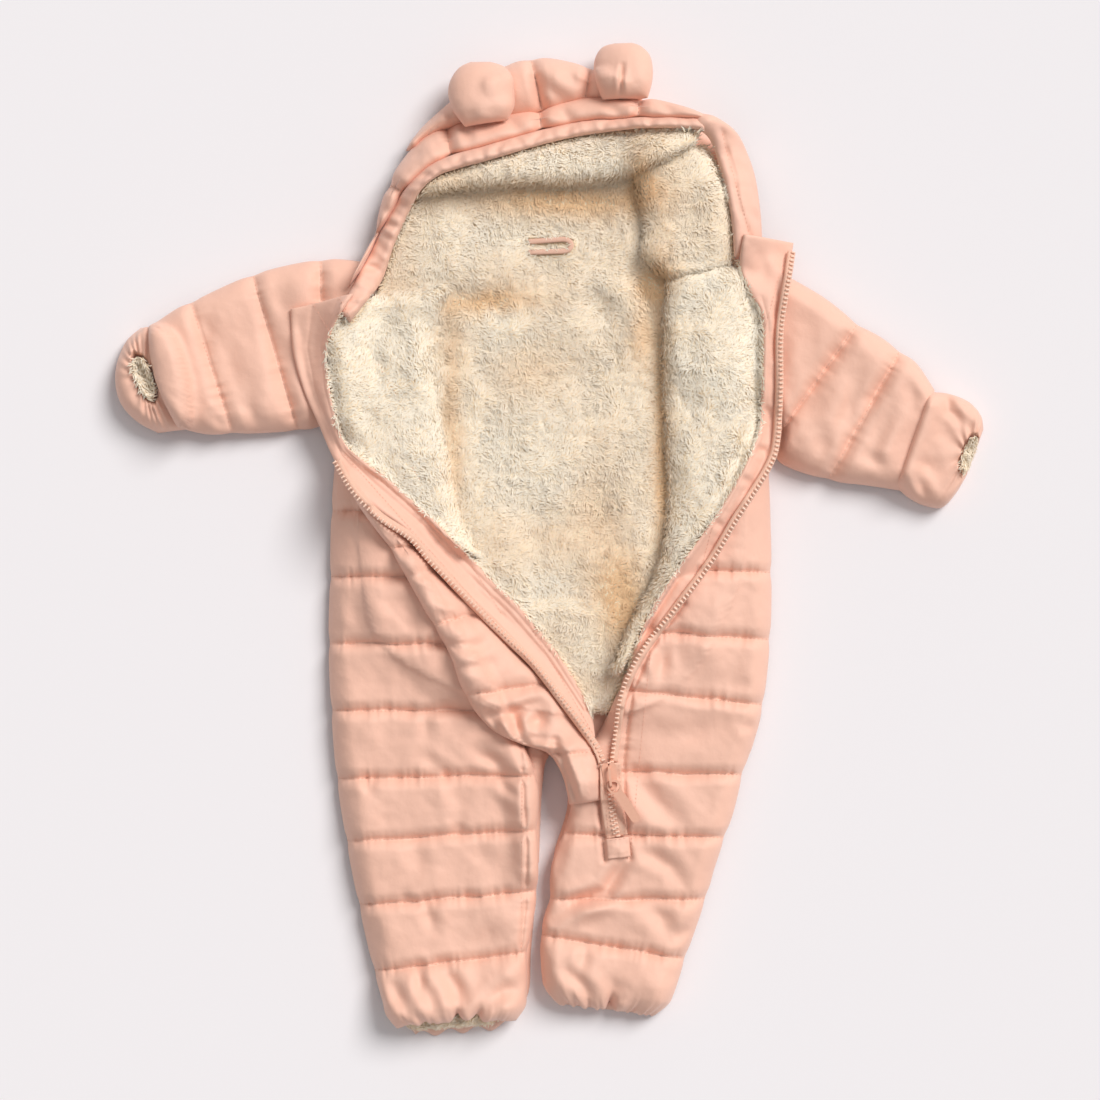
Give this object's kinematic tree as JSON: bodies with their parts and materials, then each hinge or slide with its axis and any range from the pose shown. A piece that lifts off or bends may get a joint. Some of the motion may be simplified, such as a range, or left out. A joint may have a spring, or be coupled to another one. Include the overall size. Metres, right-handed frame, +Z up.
{
  "type": "hooded padded baby snowsuit, laid open on its back",
  "caption": "Peach quilted baby snowsuit with bear-ear hood, cream fleece lining, open diagonal moulded zip, mitten cuff and elasticated feet, laid flat face up",
  "frame": {"origin": "on the surface it lies on, under the middle of the laid-out garment", "axes": "+Z up from the surface, +Y toward the hood, +X to the right of someone looking down at the front"},
  "size_m": [0.6442, 0.7298, 0.0543],
  "materials": {
    "shell": "matte plain weave with a faint sheen, padded and quilted",
    "fleece": "curly high-pile fleece, matte",
    "zip_tape": "woven tape, matte, with moulded teeth of the same colour",
    "slider_metal": "satin enamel"
  },
  "bodies": {
    "suit": {"back_left": "shell", "back_right": "shell", "sleeve_left_back": "shell", "sleeve_right_back": "shell", "hood_back": "shell", "back_lining": "fleece", "hood_lining_back": "fleece", "crotch_gusset": "shell", "sleeve_left_front": "shell", "sleeve_right_front": "shell", "cuff_right_band": "shell", "cuff_right": "shell", "cuff_right_lining": "fleece", "cuff_left": "shell", "cuff_left_lining": "fleece", "mitten_flap_left": "shell", "hem_lining_left": "fleece", "front_left": "shell", "front_right": "shell", "hem_left": "shell", "hem_right": "shell", "front_left_edge": "shell", "lining_left": "fleece", "lining_right": "fleece", "hood_lining_right": "fleece", "hood_lining_top": "fleece", "hood_crown": "shell", "hood_brow": "shell", "hood_rim": "shell", "hood_side_right": "shell", "facing_left": "shell", "facing_right": "shell", "zip_left": "zip_tape", "zip_right": "zip_tape", "zip_closed": "zip_tape", "zip_patch": "shell", "slider": "slider_metal", "hanging_loop": "zip_tape", "ear_left": "shell", "ear_right": "shell"},
    "pull": {"pull_tab": "slider_metal"}
  },
  "joints": [
    {"name": "pull_hinge", "type": "hinge", "parent": "suit", "child": "pull", "pos_m": [0.04392, -0.1758, 0.04123], "axis": [-0.829, -0.5592, 0], "range_deg": [0, 120]}
  ]
}
